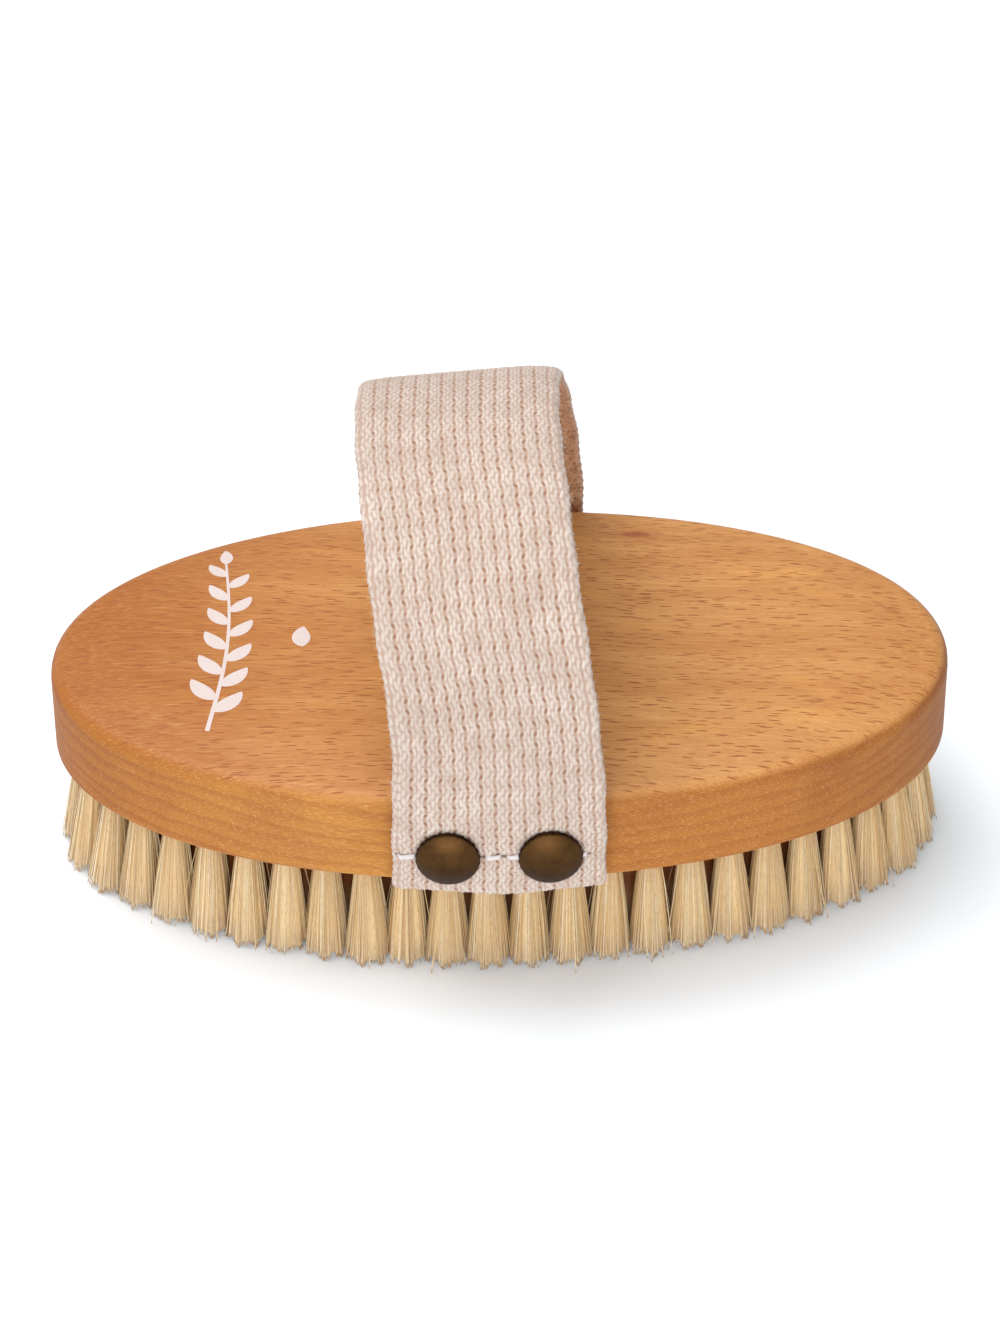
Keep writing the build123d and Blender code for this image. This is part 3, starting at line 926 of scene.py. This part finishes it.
def tuft_shapes(node, rng):
    """Root, tip and their radii of each tuft of a CAD node, each leaning a little its own way."""
    shapes = []
    for solid in islands(node):
        tip, tip_half = span(solid[solid[:, 2] < END_LEVEL])
        root, root_half = span(solid[np.abs(solid[:, 2] - UNDERSIDE_Z) < END_LEVEL])
        tip[:2] += rng.standard_normal(2) * TUFT_LEAN
        tip_radius = tip_half[0] * rng.uniform(*TIP_SPREAD)
        shapes.append((root, tip, root_half[0] * ROOT_PINCH, tip_radius))
    return shapes


def tuft_cores(rng, shapes):
    """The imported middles, one tapered and slightly lumpy body to each tuft."""
    t = CORE_STEPS
    steps = len(t)
    lines = np.zeros((len(shapes), steps, 3))
    radii = np.zeros((len(shapes), steps))
    for index, (root, tip, root_radius, tip_radius) in enumerate(shapes):
        top = np.array([root[0], root[1], root[2] + ROOT_IN_HOLE])
        lines[index] = top + (tip - top) * t[:, None]
        radii[index] = CORE_SHARE * (root_radius + (tip_radius - root_radius) * flare(t))
    points, faces = tube_mesh(lines, radii, CORE_SIDES)
    lumps = 1 + CORE_LUMPS * rng.standard_normal((len(shapes), 1, CORE_SIDES, 1))
    solid = points.reshape(len(shapes), steps, CORE_SIDES, 3)
    flat = solid[..., :2]
    solid[..., :2] = lines[:, :, None, :2] + (flat - lines[:, :, None, :2]) * lumps
    tone = 0.3 + 0.4 * rng.random((len(shapes), 1, CORE_SIDES))
    tone = np.broadcast_to(tone, solid.shape[:3]).ravel()
    along = np.broadcast_to(t[:, None], solid.shape[:3]).ravel()
    return solid.reshape(-1, 3), faces, tone, along


def strand_batch(rng, shapes, count, shell, t, stray_share):
    """Strands of every tuft: round its core for a shell, and otherwise all over its cut end."""
    lines, headings = [], []
    for tuft in shapes:
        if shell:
            share = rng.uniform(*SHELL_SHARE, count)
        else:
            share = np.sqrt(rng.random(count)) * END_SHARE
        tuft_strands, outward = tuft_lines(rng, tuft, count, share, t, stray_share)
        lines.append(tuft_strands)
        headings.append(outward)
    lines = np.concatenate(lines)
    headings = np.concatenate(headings)
    radii = rng.uniform(*STRAND_RADIUS, len(lines))[:, None] * (1 - STRAND_TAPER * t)
    along_ring = np.cross((0, 0, 1), headings)
    points, faces = tube_mesh(lines, radii, STRAND_SIDES, along_ring, STRAND_FLATNESS * headings)
    tone = np.repeat(rng.random(len(lines)), len(t) * STRAND_SIDES)
    along = np.tile(np.repeat(t, STRAND_SIDES), len(lines))
    return points, faces, tone, along


def make_tufts(ring, share, material, seed):
    """One ring of tufts as a single piece, placed over its CAD tufts."""
    rng = np.random.default_rng(seed)
    node = ring + "_tufts"
    shapes = tuft_shapes(node, rng)
    batches = [
        tuft_cores(rng, shapes),
        strand_batch(rng, shapes, int(SHELL_STRANDS * share), True, SHELL_STEPS, STRAY_SHARE),
        strand_batch(rng, shapes, int(END_STRANDS * share), False, END_STEPS, 0.0),
    ]
    points, faces = joined([batch[:2] for batch in batches])
    values = {"tone": np.concatenate([batch[2] for batch in batches]),
              "along": np.concatenate([batch[3] for batch in batches]),
              # painted shade for the gaps between the inner rings' tufts
              "gap_shade": np.full(len(points), ring != "outer_ring")}
    piece = new_piece(ring + "_fibres", points, faces, material, values)
    core_faces = len(batches[0][1])
    smooth = [index < core_faces for index in range(len(faces))]
    piece.data.polygons.foreach_set("use_smooth", smooth)
    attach(piece, "root")
    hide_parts(node)


# ------------ nails
CAP_LOBES = 26
CAP_TURNS = 156
DOME_STEPS = 22
DOME_POWER = 2.2
DOME_FOOT = 0.28  # height of the dome's foot to the cap's
SCALLOP = 0.20 * MM
CAP_RIM = (  # share of the radius, of the height and of the scallop
    (0.975, 0.30, 0.3),
    (0.992, 0.24, 0.8),
    (1.0, 0.16, 1.0),
    (0.988, 0.08, 1.0),
    (0.94, 0.02, 0.7),
    (0.80, 0.0, 0.0),
)
CROWN_RUB = 0.70
LIGHT_SLOPE = 0.34  # painted light: the upper side lighter, the lower side darker


def cap_frames(node):
    """Centre of the seat, outward direction, radius and height of each cap in a node."""
    frames = []
    for solid in islands(node):
        middle = solid.mean(0)
        directions = np.linalg.svd(solid - middle, full_matrices=False)[2]
        out = directions[2] * np.sign(directions[2][1] * middle[1])
        depth = (solid - middle) @ out
        centre, half = span(solid)
        seat = middle + out * depth.min()
        seat[[0, 2]] = centre[[0, 2]]
        frames.append((seat, out, half[2], depth.max() - depth.min()))
    return frames


def cap_shape(radius, height):
    """Dome with a crimped, scalloped rim, its axis along +Z and its seat at 0.

    Gives its points, its faces and how rubbed each point is, painted light included."""
    foot = DOME_FOOT * height
    profile = []
    for share in np.linspace(0.0, 0.955, DOME_STEPS)[1:]:
        profile.append((share * radius, foot + (height - foot) * (1 - share**DOME_POWER), 0))
    for share, level, scallop in CAP_RIM:
        profile.append((share * radius, level * height, scallop))
    turn = np.arange(CAP_TURNS) * 2 * math.pi / CAP_TURNS
    points = [(0, 0, height)]
    rub = [CROWN_RUB]
    for r, z, scallop in profile:
        wave = np.abs(np.sin(turn * CAP_LOBES / 2)) ** 0.8
        reach = r - scallop * SCALLOP * (1 - wave)
        for angle, distance in zip(turn, reach):
            points.append((distance * math.cos(angle), distance * math.sin(angle), z))
            upward = distance / radius * math.sin(angle)
            # painted highlight along the lower half of the rim, and painted light lighter on the
            # dome's upper side
            rim_highlight = max(0.0, -0.7 * upward)
            rub.append(CROWN_RUB + LIGHT_SLOPE * upward if scallop == 0 else rim_highlight)
    faces = [(0, 1 + (i + 1) % CAP_TURNS, 1 + i)[::-1] for i in range(CAP_TURNS)]
    faces += (ring_faces(len(profile), CAP_TURNS, 1)[:, ::-1]).tolist()
    last = 1 + (len(profile) - 1) * CAP_TURNS
    faces.append((last + np.arange(CAP_TURNS))[::-1].tolist())
    return np.array(points), faces, rub


def make_caps(side, material, frames):
    """Both caps of one side as one piece."""
    parts = []
    rub = []
    for seat, out, radius, height in frames:
        shape, faces, shape_wear_and_light = cap_shape(radius, height)
        across = np.cross((0, 0, 1.0), out)
        across /= np.linalg.norm(across)
        up = np.cross(out, across)
        parts.append((seat + shape @ np.stack([across, up, out]), faces))
        rub += shape_wear_and_light
    piece = new_piece(side + "_crimped_caps", *joined(parts), material, {"rub": rub})
    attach(piece, "root")
    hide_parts(side + "_nail_caps")


# ------------ stitches
THREAD_DEPTH = 0.26 * MM  # half sizes of a stitch, flattened against the webbing
THREAD_HEIGHT = 0.40 * MM
THREAD_STEPS = 15
THREAD_SIDES = 10
STITCH_LIFT = 0.14 * MM
STITCH_SLANT = 0.10 * MM
DIVE_FROM = 0.72  # place in the half length where an end starts to dive
DIVE_DEPTH = 0.75 * MM
PLY_PITCH = 0.35 * MM
PLY_DEPTH = 0.10


def make_stitches(side, material):
    """Short arched runs of thread with both ends diving into the webbing."""
    out = -1 if side == "front" else 1
    parts = []
    for solid in islands(side + "_hem_stitches"):
        middle, half = span(solid)
        points = []
        for t in np.linspace(-1, 1, THREAD_STEPS):
            dive = max(0.0, abs(t) - DIVE_FROM) / (1 - DIVE_FROM)
            lift = STITCH_LIFT * (1 - t * t) - DIVE_DEPTH * dive**1.5
            x = middle[0] + half[0] * math.copysign(min(abs(t) * 1.02, 1), t)
            y = middle[1] + out * (half[1] + lift)
            z = middle[2] + STITCH_SLANT * t
            for turn in np.arange(THREAD_SIDES) * 2 * math.pi / THREAD_SIDES:
                ply = 1 + PLY_DEPTH * math.cos(2 * turn + x / PLY_PITCH)
                points.append((x, y + THREAD_DEPTH * ply * math.cos(turn),
                               z + THREAD_HEIGHT * ply * math.sin(turn)))
        parts.append((points, tube_faces(THREAD_STEPS, THREAD_SIDES)))
    piece = new_piece(side + "_sewn_stitches", *joined(parts), material)
    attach(piece, "root")
    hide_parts(side + "_hem_stitches")


# ------------ printed sprig
PRINT_RISE = 0.04 * MM
FILM_CORNERS = ((-1, 1), (0, 1), (1, 1), (1, -1), (0, -1), (-1, -1))
SPRIG_FOOT = (-43.5 * MM, -19.5 * MM)
SPRIG_TIP = (-41.5 * MM, 21.5 * MM)
SPRIG_BOW = 1.6 * MM
LEAF_PAIRS = 6
LEAF_LENGTH = 6.6 * MM
LEAF_WIDTH = 1.35 * MM  # half a leaf across
LEAF_FOOT = 0.05 * MM  # half its foot across
LEAF_STEPS = 12
LEAF_TILT = math.radians(56)  # of each leaf from the stem, and how far it curls back
LEAF_CURL = math.radians(34)
STEM_HALF_WIDTH = 0.34 * MM
STEM_TAPER = 0.45
LOOSE_LEAF_FOOT = (-29.6 * MM, 0)


def printed_shape(tree, line, half_widths, rise=PRINT_RISE):
    """Closed film of ink that follows the block's top along a line of x, y points."""
    points = []
    for place, aside, half in zip(line, sideways(line), half_widths):
        for share, level in FILM_CORNERS:
            x, y = place + aside * half * share
            hit = tree.ray_cast(Vector((x, y, BLOCK_TOP_Z + 0.02)), Vector((0, 0, -1)))[0]
            points.append((x, y, hit.z + level * rise))
    return points, tube_faces(len(line), len(FILM_CORNERS))


def printed_leaf(tree, foot, heading, curl, length, half_width):
    """A curling leaf that sets off along heading from a thin foot and closes at a point."""
    place = np.array(foot, float)
    line = [place]
    for step in range(LEAF_STEPS):
        angle = heading + curl * (step / LEAF_STEPS)
        place = place + np.array([math.cos(angle), math.sin(angle)]) * length / LEAF_STEPS
        line.append(place)
    share = np.linspace(0, 1, len(line))
    half_widths = LEAF_FOOT + half_width * np.sin(math.pi * share**0.85) ** 0.8
    return printed_shape(tree, line, half_widths)


def make_print(material):
    """A plain leafy sprig and one small leaf, printed near the left end of the block."""
    shape = bmesh.new()
    shape.from_mesh(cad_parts["brush_block"].data)
    tree = BVHTree.FromBMesh(shape)
    shape.free()
    foot, tip = np.array(SPRIG_FOOT), np.array(SPRIG_TIP)
    along = np.linspace(0, 1, 40)
    stem = foot + (tip - foot) * along[:, None]
    stem[:, 0] += SPRIG_BOW * np.sin(math.pi * along)
    half_widths = STEM_HALF_WIDTH * (1 - STEM_TAPER * along)
    shapes = [printed_shape(tree, stem, half_widths, 1.2 * PRINT_RISE)]
    upright = math.atan2(*(tip - foot)[::-1])
    for pair in range(LEAF_PAIRS):
        share = 0.14 + 0.74 * pair / (LEAF_PAIRS - 1)
        size = 1.0 - 0.35 * share
        for side in (-1, 1):
            place = np.array([np.interp(share + 0.035 * side, along, stem[:, axis])
                              for axis in (0, 1)])
            shapes.append(printed_leaf(tree, place, upright + side * LEAF_TILT,
                                       -side * LEAF_CURL, LEAF_LENGTH * size, LEAF_WIDTH * size))
    shapes.append(printed_leaf(tree, stem[-1], upright, 0.2, LEAF_LENGTH * 0.62, LEAF_WIDTH * 0.7))
    shapes.append(printed_leaf(tree, LOOSE_LEAF_FOOT, upright + 0.25, -0.5, LEAF_LENGTH * 0.75,
                               LEAF_WIDTH))
    piece = new_piece("printed_sprig", *joined(shapes), material)
    piece.data.polygons.foreach_set("use_smooth", [False] * len(piece.data.polygons))
    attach(piece, "root")


# ------------ assembly
def main():
    make_camera()
    make_studio()
    frames = {side: cap_frames(side + "_nail_caps") for side in ("front", "rear")}
    caps = [(seat, radius) for both in frames.values() for seat, _, radius, _ in both]
    make_strap(webbing_cotton(), cotton_hair(), caps)
    fibre = plant_fibre()
    for index, (ring, share) in enumerate(RING_SHARE.items()):
        make_tufts(ring, share, fibre, SEED + 1 + index)
    brass = antique_brass()
    thread = white_thread()
    for side in ("front", "rear"):
        make_caps(side, brass, frames[side])
        make_stitches(side, thread)
    make_print(white_print())
    steel = plain_steel()
    looks = {"block": beech(), "anchors": steel, "pins": steel}
    for name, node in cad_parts.items():
        kind = name.rsplit("_", 1)[-1]
        if kind in looks:
            node.data.materials.clear()
            node.data.materials.append(looks[kind])


main()
